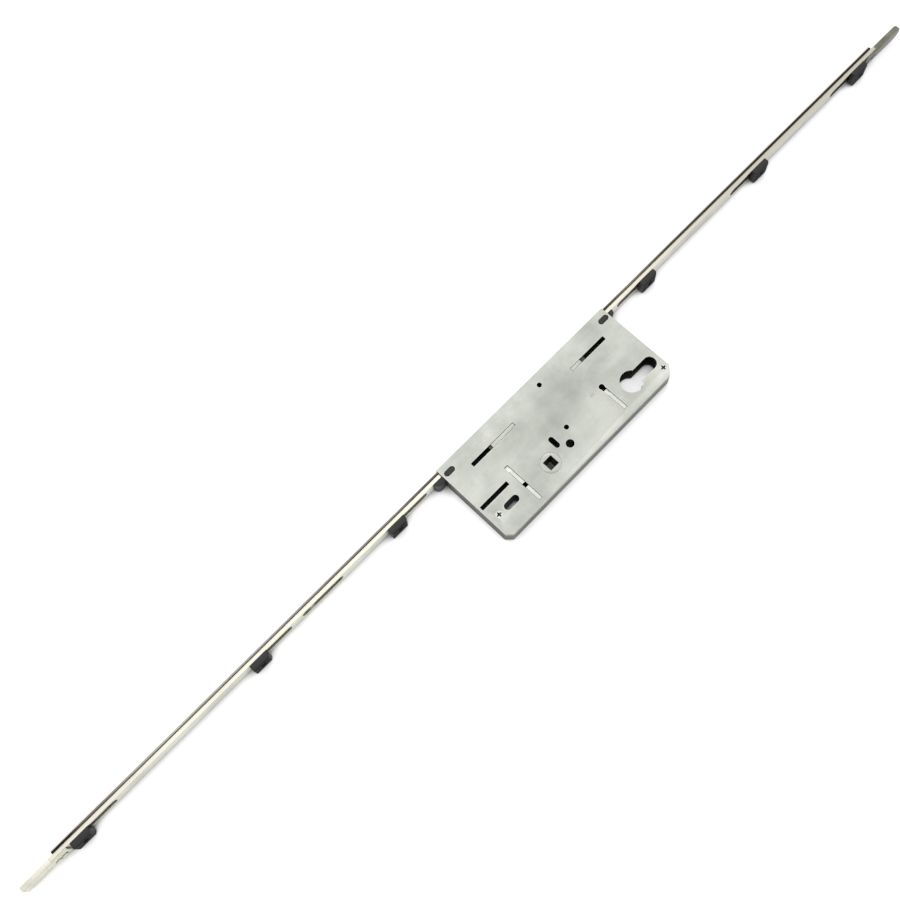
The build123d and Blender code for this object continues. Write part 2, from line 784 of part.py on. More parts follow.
def make_spring_post():
    """A square post with a round tenon staked in each plate, drilled for the pad's stem."""
    place = Pos(spring_post_x, spring_post_y)
    body = pressed(place * Rectangle(post_side, post_side), -half_inside, half_inside)
    body += pressed(place * Circle(post_tenon_radius), -half_case, half_case)
    hole = Pos(spring_post_x, 0) * Circle(pad_stem_radius + pad_stem_play)
    return body - strip(hole, spring_post_y - post_side, spring_post_y + post_side)


def make_friction_pad():
    """A moulded pad that rubs on the bottom rack, on a stem that slides in the post."""
    block = Pos(spring_post_x, 0) * Rectangle(pad_length, pad_height)
    stem = Pos(spring_post_x, 0) * Circle(pad_stem_radius)
    body = strip(block, pad_back, pad_back + pad_thickness)
    return body + strip(stem, spring_post_y - post_side / 2, pad_back)


def helix_point(turn, start, pitch):
    """The wire's middle after so many turns, and the direction that it runs in there."""
    angle = 2 * math.pi * turn
    place = Vector(
        spring_post_x + spring_coil_radius * math.cos(angle),
        start + pitch * turn,
        spring_coil_radius * math.sin(angle),
    )
    run = 2 * math.pi * spring_coil_radius
    direction = Vector(-run * math.sin(angle), pitch, run * math.cos(angle)).normalized()
    return place, direction


def make_friction_spring():
    """A wound wire of six sides, each quarter turn two arcs that meet on a common tangent."""
    start = spring_post_y + post_side / 2 + spring_wire_radius
    end = pad_back - spring_wire_radius
    pitch = (end - start) / spring_turns
    print("friction spring, least gap between turns", round(pitch - 2 * spring_wire_radius, 2), "mm")
    arcs = []
    for quarter in range(4 * spring_turns):
        first, first_run = helix_point(quarter / 4, start, pitch)
        last, last_run = helix_point((quarter + 1) / 4, start, pitch)
        across = last - first
        spread = 2 * (1 - first_run.dot(last_run))
        along = across.dot(first_run + last_run)
        reach = (math.sqrt(along * along + spread * across.dot(across)) - along) / spread
        near = first + first_run * reach
        far = last - last_run * reach
        middle = (near + far) * 0.5
        arcs.append(TangentArc(first, middle, tangent=first_run))
        arcs.append(TangentArc(middle, last, tangent=far - near))
    path = Wire(arcs)
    section = Plane(origin=path @ 0, z_dir=path % 0) * RegularPolygon(spring_wire_radius, 6)
    return sweep(section, path)


parts = {
    "case_tray": make_case_tray(),
    "case_cover": make_case_cover(),
    "case_pillars": make_case_pillars(),
    "cover_screws": make_cover_screws(),
    "faceplate": make_faceplate(),
    "faceplate_screws": make_faceplate_screws(),
    "top_end_guide": make_end_guide(guide_peg_places[0], -1, case_top_end, top_guide_reach),
    "bottom_end_guide": make_end_guide(guide_peg_places[1], 1, case_bottom_end, bottom_guide_reach),
    "top_drive_rod": make_top_rod(),
    "bottom_drive_rod": make_bottom_rod(),
    "top_shootbolt": make_shootbolt(top_bolt_start, top_bolt_tip, -1, squared_bar),
    "bottom_shootbolt": make_shootbolt(bottom_bolt_start, bottom_bolt_tip, 1, round_bar),
    "top_shootbolt_rivets": make_shootbolt_rivets(top_bolt_start, -1),
    "bottom_shootbolt_rivets": make_shootbolt_rivets(bottom_bolt_start, 1),
    "spindle_follower": make_spindle_follower(),
    "bottom_rack": make_bottom_rack(),
    "top_rack": make_top_rack(),
    "reversing_pinion": make_reversing_pinion(),
    "pinion_post": make_pinion_post(),
    "lock_plate": make_lock_plate(),
    "spring_post": make_spring_post(),
    "friction_pad": make_friction_pad(),
    "friction_spring": make_friction_spring(),
}
for number, (top_x, bottom_x) in enumerate(zip(top_clip_places, bottom_clip_places), 1):
    parts[f"top_clip_{number}"] = make_clip(top_x)
    parts[f"bottom_clip_{number}"] = make_clip(bottom_x)

for name, shape in parts.items():
    export_step(shape, f"parts/{name}.step")
    print(name, round(shape.volume), "mm3")
print("rod travel", round(rod_travel, 3), "mm")
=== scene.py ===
import math

import bmesh
import bpy
import numpy as np
from mathutils import Matrix, Vector


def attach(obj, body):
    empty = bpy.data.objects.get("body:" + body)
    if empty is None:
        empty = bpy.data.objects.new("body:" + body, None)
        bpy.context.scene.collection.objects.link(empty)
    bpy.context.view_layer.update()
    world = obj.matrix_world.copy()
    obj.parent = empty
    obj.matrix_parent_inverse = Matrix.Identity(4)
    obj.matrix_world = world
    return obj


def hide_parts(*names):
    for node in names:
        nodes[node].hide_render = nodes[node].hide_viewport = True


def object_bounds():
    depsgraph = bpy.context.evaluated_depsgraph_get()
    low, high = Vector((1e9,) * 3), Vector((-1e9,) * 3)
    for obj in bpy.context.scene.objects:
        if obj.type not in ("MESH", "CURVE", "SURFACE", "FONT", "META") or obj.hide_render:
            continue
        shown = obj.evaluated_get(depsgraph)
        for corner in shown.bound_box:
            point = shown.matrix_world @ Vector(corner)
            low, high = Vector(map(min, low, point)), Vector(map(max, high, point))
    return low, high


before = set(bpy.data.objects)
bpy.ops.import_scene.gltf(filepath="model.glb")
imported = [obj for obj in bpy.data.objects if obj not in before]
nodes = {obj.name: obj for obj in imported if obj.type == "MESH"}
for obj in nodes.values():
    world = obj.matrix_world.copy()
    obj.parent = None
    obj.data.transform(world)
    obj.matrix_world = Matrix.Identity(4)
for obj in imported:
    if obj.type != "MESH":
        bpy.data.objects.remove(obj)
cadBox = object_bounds()
mm = 0.001
print("frame loaded,", len(nodes), "nodes")


# Camera, fitted to the case's edges and openings first, and to the strip's clips and ends
# as far as a straight strip can

cameraFit = {
    "place": (-0.19634, -0.15404, 0.76987),
    "forward": (0.191279, 0.263603, -0.945476),
    "up": (0.687513, 0.651504, 0.320733),
    "lens": 45.314,
    "sensor": 36.0,
}


def makeCamera(fit):
    data = bpy.data.cameras.new("studioCamera")
    data.lens = fit["lens"]
    data.sensor_width = fit["sensor"]
    data.clip_start = 0.01
    data.clip_end = 30
    camera = bpy.data.objects.new("studioCamera", data)
    bpy.context.scene.collection.objects.link(camera)
    back = -Vector(fit["forward"]).normalized()
    right = Vector(fit["up"]).cross(back).normalized()
    turn = Matrix((right, back.cross(right), back)).transposed()
    camera.matrix_world = Matrix.Translation(fit["place"]) @ turn.to_4x4()
    bpy.context.scene.camera = camera


makeCamera(cameraFit)


# Materials

# most values of a noise lie in this range, so what follows a noise is spread over it
noiseRange = {"From Min": 0.3, "From Max": 0.7}


def linear(hexColour):
    # sRGB to linear: c / 12.92 up to 0.04045, else ((c + 0.055) / 1.055) ** 2.4
    parts = [int(hexColour[i:i + 2], 16) / 255 for i in (1, 3, 5)]
    return tuple(c / 12.92 if c <= 0.04045 else ((c + 0.055) / 1.055) ** 2.4 for c in parts) + (1.0,)


def addNode(tree, kind, inputs=None, stops=(), **settings):
    # inputs are values or other nodes' sockets by name or number, stops are a ramp's places and colours
    node = tree.nodes.new("ShaderNode" + kind)
    for key, value in settings.items():
        setattr(node, key, value)
    for key, value in (inputs or {}).items():
        if isinstance(value, bpy.types.NodeSocket):
            tree.links.new(value, node.inputs[key])
        else:
            node.inputs[key].default_value = value
    for number, (place, colour) in enumerate(stops):
        if number > 1:
            node.color_ramp.elements.new(place)
        node.color_ramp.elements[number].position = place
        node.color_ramp.elements[number].color = linear(colour)
    return node


def startMaterial(name):
    material = bpy.data.materials.new(name)
    material.use_nodes = True
    material.node_tree.nodes.clear()
    return material, material.node_tree


def edgeMask(tree, width):
    # 0 on open faces, 1 on an edge: the normal rounded over that many mm leaves the true one there;
    # the cosines are those of 6 degrees, still an open face, and of 31 degrees
    rounded = addNode(tree, "Bevel", {"Radius": width * mm}, samples=4)
    surface = addNode(tree, "NewGeometry")
    likeness = addNode(tree, "VectorMath", {
        0: rounded.outputs["Normal"], 1: surface.outputs["Normal"],
    }, operation="DOT_PRODUCT")
    return addNode(tree, "MapRange", {
        "Value": likeness.outputs["Value"], "From Min": 0.995, "From Max": 0.86,
    })


# zinc-plated steel strip and sheet: rolled grain along X, cloudy plating, edges sheared or polished bare,
# with a painted highlight on most; cloud, grain and edgeWidth are in mm, and side colours the faces that
# sideIs names
# as painted light: upright ones, such as a sheet's cut edges and the tray's walls, darker as painted shade,
# or the level edges of the rods, which stand on edge, lighter as a painted highlight
platedSteels = {
    # patches of painted reflection and shade are (x, y) of the middle, (x, y) of the reach and the gain
    # there:
    # the cover is painted dull in the middle and bright by the ends
    "zincCoverSheet": {
        "dark": "#aaada6", "light": "#c1c3bb", "side": "#8a8986", "sideIs": "upright", "edge": "#e6e6dc",
        "cloud": 34, "grain": 0.8, "rough": (0.42, 0.52), "edgeWidth": 0.8,
        "paintedLightPatches": [
            ((30, 28), (62, 26), 0.8), ((16, 19), (40, 9), 0.9), ((-8, 34), (34, 18), 0.9),
            ((86, 21), (30, 7), 1.13), ((108, -6), (24, 22), 1.14), ((-48, -8), (30, 22), 1.07),
            ((20, -12), (70, 10), 1.04),
        ],
    },
    "zincTraySheet": {
        "dark": "#a3a7a2", "light": "#b7b9b3", "side": "#5f5e5a", "sideIs": "upright", "edge": "#9b9b95",
        "cloud": 30, "grain": 0.8, "rough": (0.38, 0.52), "edgeWidth": 0.5, "paintedLightPatches": [],
        "inside": {"from": -6.9, "to": 6.7, "fade": 0.1, "colour": "#4c4c50"},
        "rim": {"from": 4.6, "to": 5.8, "colour": "#c4c4ba"},
        "ends": "#3f3e38",
    },
    "paleZincRodStrip": {
        "dark": "#c8c9bf", "light": "#dadbd0", "side": "#dfdbcc", "sideIs": "level", "edge": "#dddbce",
        "cloud": 30, "grain": 0.7, "rough": (0.3, 0.44), "edgeWidth": 0.4,
        # a patch of painted shade on the rods about x = 330 mm
        "paintedLightPatches": [((330, 50), (280, 80), 0.8)],
    },
    "zincLockPressing": {
        "dark": "#c3c4bd", "light": "#d3d5cb", "side": "#b9b9b3", "sideIs": "upright", "edge": "#ecece6",
        "cloud": 10, "grain": 0.7, "rough": (0.3, 0.45), "edgeWidth": 0.3, "paintedLightPatches": [],
    },
}


def makePlatedSteel(name, look):
    material, tree = startMaterial(name)
    place = addNode(tree, "TexCoord")
    spot = addNode(tree, "SeparateXYZ", {"Vector": place.outputs["Object"]})
    cloud = addNode(tree, "TexNoise", {
        "Vector": place.outputs["Object"], "Scale": 1 / (look["cloud"] * mm), "Detail": 5.0,
        "Roughness": 0.62,
    })
    # the grain is drawn 40 times as long as it is wide, and coarser than a real roll mark so that it shows
    drawn = addNode(tree, "Mapping", {"Vector": place.outputs["Object"], "Scale": (1 / 40, 1, 1)})
    grain = addNode(tree, "TexNoise", {
        "Vector": drawn.outputs["Vector"], "Scale": 1 / (look["grain"] * mm), "Detail": 4.0,
        "Roughness": 0.65,
    })
    tone = addNode(tree, "ValToRGB", {
        "Fac": cloud.outputs["Fac"],
    }, stops=[(0.34, look["dark"]), (0.64, look["light"])])
    streak = addNode(tree, "MapRange", {
        **noiseRange, "Value": grain.outputs["Fac"], "To Min": 0.95, "To Max": 1.04,
    })
    gain = streak.outputs["Result"]
    # each patch multiplies the colour, painting a pool of reflection or shade
    for middle, reach, strength in look["paintedLightPatches"]:
        offset = addNode(tree, "VectorMath", {
            0: place.outputs["Object"], 1: (middle[0] * mm, middle[1] * mm, 0),
        }, operation="SUBTRACT")
        share = addNode(tree, "VectorMath", {
            0: offset.outputs["Vector"], 1: (reach[0] * mm, reach[1] * mm, 1),
        }, operation="DIVIDE")
        away = addNode(tree, "VectorMath", {0: share.outputs["Vector"]}, operation="LENGTH")
        patch = addNode(tree, "MapRange", {
            "Value": away.outputs["Value"], "To Min": strength, "To Max": 1.0,
        }, interpolation_type="SMOOTHERSTEP")
        gain = addNode(tree, "Math", {
            0: gain, 1: patch.outputs["Result"],
        }, operation="MULTIPLY").outputs["Value"]
    face = addNode(tree, "SeparateXYZ", {"Vector": place.outputs["Normal"]})
    tilt = addNode(tree, "Math", {0: face.outputs["Z"]}, operation="ABSOLUTE")
    # the tilt is 0 on an upright face and 1 on a level one, and the side's colour goes from none to full:
    # painted shade on the sheets' upright faces, a painted highlight on the rods' level edges
    none, full = (0.75, 0.45) if look["sideIs"] == "upright" else (0.45, 0.75)
    side = addNode(tree, "MapRange", {"Value": tilt.outputs["Value"], "From Min": none, "From Max": full})
    sided = addNode(tree, "Mix", {
        0: side.outputs["Result"], 6: tone.outputs["Color"], 7: linear(look["side"]),
    }, data_type="RGBA")
    # the edge colour is painted light along the edges: a highlight on most sheets, a little darker on the
    # tray
    edge = edgeMask(tree, look["edgeWidth"])
    edged = addNode(tree, "Mix", {
        0: edge.outputs["Result"], 6: sided.outputs[2], 7: linear(look["edge"]),
    }, data_type="RGBA")
    surface = edged.outputs[2]
    if "rim" in look:
        # the sheet's last few mm below the cover catch the light
        rim = look["rim"]
        pale = addNode(tree, "MapRange", {
            "Value": spot.outputs["Z"], "From Min": rim["from"] * mm, "From Max": rim["to"] * mm,
        })
        surface = addNode(tree, "Mix", {
            0: pale.outputs["Result"], 6: surface, 7: linear(rim["colour"]),
        }, data_type="RGBA").outputs[2]
    if "ends" in look:
        # the bent-up ends are painted darker than the long back, as shade
        turned = addNode(tree, "Math", {0: face.outputs["X"]}, operation="ABSOLUTE")
        isEnd = addNode(tree, "MapRange", {
            "Value": turned.outputs["Value"], "From Min": 0.75, "From Max": 0.9,
        })
        surface = addNode(tree, "Mix", {
            0: isEnd.outputs["Result"], 6: surface, 7: linear(look["ends"]),
        }, data_type="RGBA").outputs[2]
    if "inside" in look:
        # faces that look up from the tray's floor, inside the case, are coloured dark
        insideColour = look["inside"]
        above = addNode(tree, "MapRange", {
            "Value": spot.outputs["Z"], "From Min": (insideColour["from"] - insideColour["fade"]) * mm,
            "From Max": insideColour["from"] * mm,
        })
        up = addNode(tree, "MapRange", {"Value": face.outputs["Z"], "From Min": 0.3, "From Max": 0.6})
        low = addNode(tree, "MapRange", {
            "Value": spot.outputs["Z"], "From Min": insideColour["to"] * mm,
            "From Max": (insideColour["to"] - insideColour["fade"]) * mm,
        })
        floorPart = addNode(tree, "Math", {
            0: above.outputs["Result"], 1: up.outputs["Result"],
        }, operation="MULTIPLY")
        darkenedInside = addNode(tree, "Math", {
            0: floorPart.outputs["Value"], 1: low.outputs["Result"],
        }, operation="MULTIPLY")
        surface = addNode(tree, "Mix", {
            0: darkenedInside.outputs["Value"], 6: surface, 7: linear(insideColour["colour"]),
        }, data_type="RGBA").outputs[2]
    colour = addNode(tree, "VectorMath", {0: surface, 3: gain}, operation="SCALE")
    rough = addNode(tree, "MapRange", {
        **noiseRange, "Value": cloud.outputs["Fac"], "To Min": look["rough"][1],
        "To Max": look["rough"][0],
    })
    relief = addNode(tree, "Bump", {
        "Height": grain.outputs["Fac"], "Strength": 0.35, "Distance": 0.02 * mm,
    })
    shader = addNode(tree, "BsdfPrincipled", {
        "Base Color": colour.outputs["Vector"], "Roughness": rough.outputs["Result"],
        "Normal": relief.outputs["Normal"], "Metallic": 1.0,
    })
    addNode(tree, "OutputMaterial", {"Surface": shader.outputs["BSDF"]})
    return material


# satin silver strip steel: a fine brushed front, a dull brown-grey rolled back, and sheared sides whose
# colour is painted reflection and shade, going from dark at the top end through grey to brown towards the
# bottom end
faceplateLook = {
    "front": ("#a9a8a2", "#c9c8c3"),
    "back": "#35302b",
    "sides": [
        (0.0, "#1c1613"), (0.02, "#2e262a"), (0.03, "#6d645b"), (0.05, "#7a746a"), (0.09, "#9e9b94"),
        (0.12, "#a1a29d"), (0.26, "#8d8885"), (0.38, "#77726c"), (0.41, "#5b5851"), (0.63, "#3f3b31"),
        (0.66, "#787462"), (0.71, "#504c41"), (0.76, "#443f35"), (0.85, "#352f24"), (1.0, "#2a221a"),
    ],
    "sideEnds": (-417, 426.5),
    "frontEdgeHighlight": {"from": 53.6, "to": 54.2, "colour": "#eceae4"},
    "cloud": 25,
    "brush": 0.35,
    "rough": (0.28, 0.42),
}


def makeFaceplateSteel(name, look):
    material, tree = startMaterial(name)
    place = addNode(tree, "TexCoord")
    # the brush marks run along X and are drawn 60 times as long as they are wide
    drawn = addNode(tree, "Mapping", {"Vector": place.outputs["Object"], "Scale": (1 / 60, 1, 1)})
    brush = addNode(tree, "TexNoise", {
        "Vector": drawn.outputs["Vector"], "Scale": 1 / (look["brush"] * mm), "Detail": 4.0,
        "Roughness": 0.7,
    })
    cloud = addNode(tree, "TexNoise", {
        "Vector": place.outputs["Object"], "Scale": 1 / (look["cloud"] * mm), "Detail": 4.0,
    })
    front = addNode(tree, "ValToRGB", {
        "Fac": brush.outputs["Fac"],
    }, stops=[(0.3, look["front"][0]), (0.7, look["front"][1])])
    spot = addNode(tree, "SeparateXYZ", {"Vector": place.outputs["Object"]})
    # the sides' colour along X is painted reflection and shade
    along = addNode(tree, "MapRange", {
        "Value": spot.outputs["X"], "From Min": look["sideEnds"][0] * mm,
        "From Max": look["sideEnds"][1] * mm,
    })
    sides = addNode(tree, "ValToRGB", {"Fac": along.outputs["Result"]}, stops=look["sides"])
    # a painted highlight on the first mm of the sides, by the front face
    frontEdgeHighlight = look["frontEdgeHighlight"]
    highlightShare = addNode(tree, "MapRange", {
        "Value": spot.outputs["Y"], "From Min": frontEdgeHighlight["from"] * mm, "From Max": frontEdgeHighlight["to"] * mm,
    })
    sides = addNode(tree, "Mix", {
        0: highlightShare.outputs["Result"], 6: sides.outputs["Color"], 7: linear(frontEdgeHighlight["colour"]),
    }, data_type="RGBA")
    face = addNode(tree, "SeparateXYZ", {"Vector": place.outputs["Normal"]})
    level = addNode(tree, "Math", {0: face.outputs["Z"]}, operation="ABSOLUTE")
    isSide = addNode(tree, "MapRange", {
        "Value": level.outputs["Value"], "From Min": 0.45, "From Max": 0.75,
    })
    isBack = addNode(tree, "MapRange", {"Value": face.outputs["Y"], "From Min": -0.45, "From Max": -0.75})
    sided = addNode(tree, "Mix", {
        0: isSide.outputs["Result"], 6: front.outputs["Color"], 7: sides.outputs[2],
    }, data_type="RGBA")
    backed = addNode(tree, "Mix", {
        0: isBack.outputs["Result"], 6: sided.outputs[2], 7: linear(look["back"]),
    }, data_type="RGBA")
    shade = addNode(tree, "MapRange", {
        **noiseRange, "Value": cloud.outputs["Fac"], "To Min": 0.9, "To Max": 1.05,
    })
    colour = addNode(tree, "VectorMath", {
        0: backed.outputs[2], 3: shade.outputs["Result"],
    }, operation="SCALE")
    rough = addNode(tree, "MapRange", {
        **noiseRange, "Value": brush.outputs["Fac"], "To Min": look["rough"][0],
        "To Max": look["rough"][1],
    })
    relief = addNode(tree, "Bump", {"Height": brush.outputs["Fac"], "Strength": 0.4, "Distance": 0.01 * mm})
    shader = addNode(tree, "BsdfPrincipled", {
        "Base Color": colour.outputs["Vector"], "Roughness": rough.outputs["Result"],
        "Normal": relief.outputs["Normal"], "Metallic": 1.0,
    })
    addNode(tree, "OutputMaterial", {"Surface": shader.outputs["BSDF"]})
    return material


# cast, sintered and cold-headed metals: an even skin with fine pits, no direction; cloud, pit and
# pitDepth are in mm
cleanCasts = {
    # die-cast zinc, pale plated: smooth with a slight orange peel; its edges painted darker as shade
    "castZincPale": {
        "dark": "#cbc9bb", "light": "#e0ded1", "edge": "#8f8f8a", "cloud": 9, "pit": 0.9,
        "pitDepth": 0.02, "rough": (0.34, 0.48),
    },
    # die-cast zinc painted dull grey-green as shade, for the bottom shootbolt and its rivets
    "shadedCastZinc": {
        "dark": "#6f6f64", "light": "#85857a", "edge": "#a3a39a", "cloud": 9, "pit": 0.9,
        "pitDepth": 0.02, "rough": (0.4, 0.55),
    },
    # sintered steel, oiled: dark with open pores, painted pale as light where it stands in the plates'
    # openings, apart from the hub's outer edge, which lies close against the plates and gets no painted
    # bright line
    "sinteredGearSteel": {
        "dark": "#43423e", "light": "#575650", "edge": "#66645f", "cloud": 5, "pit": 0.25,
        "pitDepth": 0.03, "rough": (0.4, 0.55),
        "litInOpenings": {
            "from": 6.9, "to": 7.2, "colour": "#b6b8b0", "edge": "#dddfd2",
            "hub": 7.8, "hubEdge": (0.6, 0.9),
        },
    },
    # cold-headed screws and turned posts, zinc plated: bright, a little uneven
    "coldHeadedSteel": {
        "dark": "#9fa09c", "light": "#c9cac5", "edge": "#e0e0dc", "cloud": 2.5, "pit": 0.3,
        "pitDepth": 0.01, "rough": (0.26, 0.4),
    },
    # the same on the cover's screws, coloured dark in the cross recess
    "coldHeadedCoverScrew": {
        "dark": "#b9bab5", "light": "#d8d9d3", "edge": "#ecece6", "cloud": 2.5, "pit": 0.3,
        "pitDepth": 0.01, "rough": (0.26, 0.4),
        "recess": {"from": 7.85, "to": 7.55, "colour": "#28282a"},
    },
    # drawn spring wire: dark straw grey
    "drawnSpringWire": {
        "dark": "#55565a", "light": "#77787c", "edge": "#8c8d90", "cloud": 2.5, "pit": 0.2,
        "pitDepth": 0.006, "rough": (0.28, 0.38),
    },
}


def makeCastMetal(name, look):
    material, tree = startMaterial(name)
    place = addNode(tree, "TexCoord")
    spot = addNode(tree, "SeparateXYZ", {"Vector": place.outputs["Object"]})
    cloud = addNode(tree, "TexNoise", {
        "Vector": place.outputs["Object"], "Scale": 1 / (look["cloud"] * mm), "Detail": 5.0,
        "Roughness": 0.6,
    })
    pits = addNode(tree, "TexNoise", {
        "Vector": place.outputs["Object"], "Scale": 1 / (look["pit"] * mm), "Detail": 3.0,
        "Roughness": 0.55,
    })
    tone = addNode(tree, "ValToRGB", {
        "Fac": cloud.outputs["Fac"],
    }, stops=[(0.34, look["dark"]), (0.66, look["light"])])
    # the edge colour is painted light along the edges: a highlight on most metals, shade on the pale zinc
    edge = edgeMask(tree, 0.4)
    colour = addNode(tree, "Mix", {
        0: edge.outputs["Result"], 6: tone.outputs["Color"], 7: linear(look["edge"]),
    }, data_type="RGBA")
    # painted light: pale where the gear stands in the plates' openings, with a painted highlight on its
    # edges
    if "litInOpenings" in look:
        litInOpenings = look["litInOpenings"]
        depth = addNode(tree, "Math", {0: spot.outputs["Z"]}, operation="ABSOLUTE")
        bright = addNode(tree, "MapRange", {
            "Value": depth.outputs["Value"], "From Min": litInOpenings["from"] * mm,
            "From Max": litInOpenings["to"] * mm,
        })
        # off is how far a point lies from the hub's outer edge
        flat = addNode(tree, "VectorMath", {0: place.outputs["Object"], 1: (1, 1, 0)}, operation="MULTIPLY")
        radius = addNode(tree, "VectorMath", {0: flat.outputs["Vector"]}, operation="LENGTH")
        apart = addNode(tree, "Math", {
            0: radius.outputs["Value"], 1: litInOpenings["hub"] * mm,
        }, operation="SUBTRACT")
        off = addNode(tree, "Math", {0: apart.outputs["Value"]}, operation="ABSOLUTE")
        clear = addNode(tree, "MapRange", {
            "Value": off.outputs["Value"], "From Min": litInOpenings["hubEdge"][0] * mm,
            "From Max": litInOpenings["hubEdge"][1] * mm,
        })
        shown = addNode(tree, "Math", {
            0: edge.outputs["Result"], 1: clear.outputs["Result"],
        }, operation="MULTIPLY")
        rim = addNode(tree, "Mix", {
            0: shown.outputs["Value"], 6: linear(litInOpenings["colour"]), 7: linear(litInOpenings["edge"]),
        }, data_type="RGBA")
        colour = addNode(tree, "Mix", {
            0: bright.outputs["Result"], 6: colour.outputs[2], 7: rim.outputs[2],
        }, data_type="RGBA")
    if "recess" in look:
        recess = look["recess"]
        sunk = addNode(tree, "MapRange", {
            "Value": spot.outputs["Z"], "From Min": recess["from"] * mm, "From Max": recess["to"] * mm,
        })
        colour = addNode(tree, "Mix", {
            0: sunk.outputs["Result"], 6: colour.outputs[2], 7: linear(recess["colour"]),
        }, data_type="RGBA")
    rough = addNode(tree, "MapRange", {
        **noiseRange, "Value": pits.outputs["Fac"], "To Min": look["rough"][0],
        "To Max": look["rough"][1],
    })
    relief = addNode(tree, "Bump", {
        "Height": pits.outputs["Fac"], "Strength": 0.5, "Distance": look["pitDepth"] * mm,
    })
    shader = addNode(tree, "BsdfPrincipled", {
        "Base Color": colour.outputs[2], "Roughness": rough.outputs["Result"],
        "Normal": relief.outputs["Normal"], "Metallic": 1.0,
    })
    addNode(tree, "OutputMaterial", {"Surface": shader.outputs["BSDF"]})
    return material


# injection-moulded black nylon: spark-eroded texture of about 0.3 mm, satin, a little paler along the edges
# as a painted highlight; the guides lie in the case and are painted blacker than the clips, as shade; gloss
# is the specular level on the back and on the other faces, low on the clips' backs to paint them dark as
# shade
blackNylons = {
    "mouldedClipNylon": {
        "dark": "#0f100f", "light": "#171816", "edge": "#262724", "grit": 0.3, "cloud": 6,
        "rough": (0.42, 0.58), "gloss": (0.03, 0.46),
    },
    "shadedGuideNylon": {
        "dark": "#0b0b0c", "light": "#131313", "edge": "#20211f", "grit": 0.3, "cloud": 6,
        "rough": (0.45, 0.6), "gloss": (0.5, 0.5),
    },
}


def makeNylon(name, look):
    material, tree = startMaterial(name)
    place = addNode(tree, "TexCoord")
    cloud = addNode(tree, "TexNoise", {
        "Vector": place.outputs["Object"], "Scale": 1 / (look["cloud"] * mm), "Detail": 3.0,
    })
    grit = addNode(tree, "TexNoise", {
        "Vector": place.outputs["Object"], "Scale": 1 / (look["grit"] * mm), "Detail": 2.0,
    })
    tone = addNode(tree, "ValToRGB", {
        "Fac": cloud.outputs["Fac"],
    }, stops=[(0.35, look["dark"]), (0.65, look["light"])])
    edge = edgeMask(tree, 0.5)
    colour = addNode(tree, "Mix", {
        0: edge.outputs["Result"], 6: tone.outputs["Color"], 7: linear(look["edge"]),
    }, data_type="RGBA")
    rough = addNode(tree, "MapRange", {
        **noiseRange, "Value": cloud.outputs["Fac"], "To Min": look["rough"][0],
        "To Max": look["rough"][1],
    })
    relief = addNode(tree, "Bump", {"Height": grit.outputs["Fac"], "Strength": 0.5, "Distance": 0.03 * mm})
    face = addNode(tree, "SeparateXYZ", {"Vector": place.outputs["Normal"]})
    # the clips' backs get almost no specular level, which paints them dark as shade
    gloss = addNode(tree, "MapRange", {
        "Value": face.outputs["Y"], "From Min": -0.8, "From Max": -0.4, "To Min": look["gloss"][0],
        "To Max": look["gloss"][1],
    })
    shader = addNode(tree, "BsdfPrincipled", {
        "Base Color": colour.outputs[2], "Roughness": rough.outputs["Result"],
        "Normal": relief.outputs["Normal"], "IOR": 1.53, "Specular IOR Level": gloss.outputs["Result"],
    })
    addNode(tree, "OutputMaterial", {"Surface": shader.outputs["BSDF"]})
    return material


finishes = {name: makePlatedSteel(name, look) for name, look in platedSteels.items()}
finishes.update({name: makeCastMetal(name, look) for name, look in cleanCasts.items()})
finishes["satinFaceplateSteel"] = makeFaceplateSteel("satinFaceplateSteel", faceplateLook)
finishes.update({name: makeNylon(name, look) for name, look in blackNylons.items()})
print("materials made,", len(finishes))


# Putting pieces in the scene

def addPiece(name, mesh, settings):
    mesh.materials.clear()
    mesh.materials.append(finishes[settings["finish"]])
    piece = bpy.data.objects.new(name, mesh)
    bpy.context.scene.collection.objects.link(piece)
    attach(piece, settings["body"])
    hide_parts(settings["node"])
    return piece


# Pressed, cut and sintered pieces: the CAD solid's own faces, with every edge rounded by softness mm

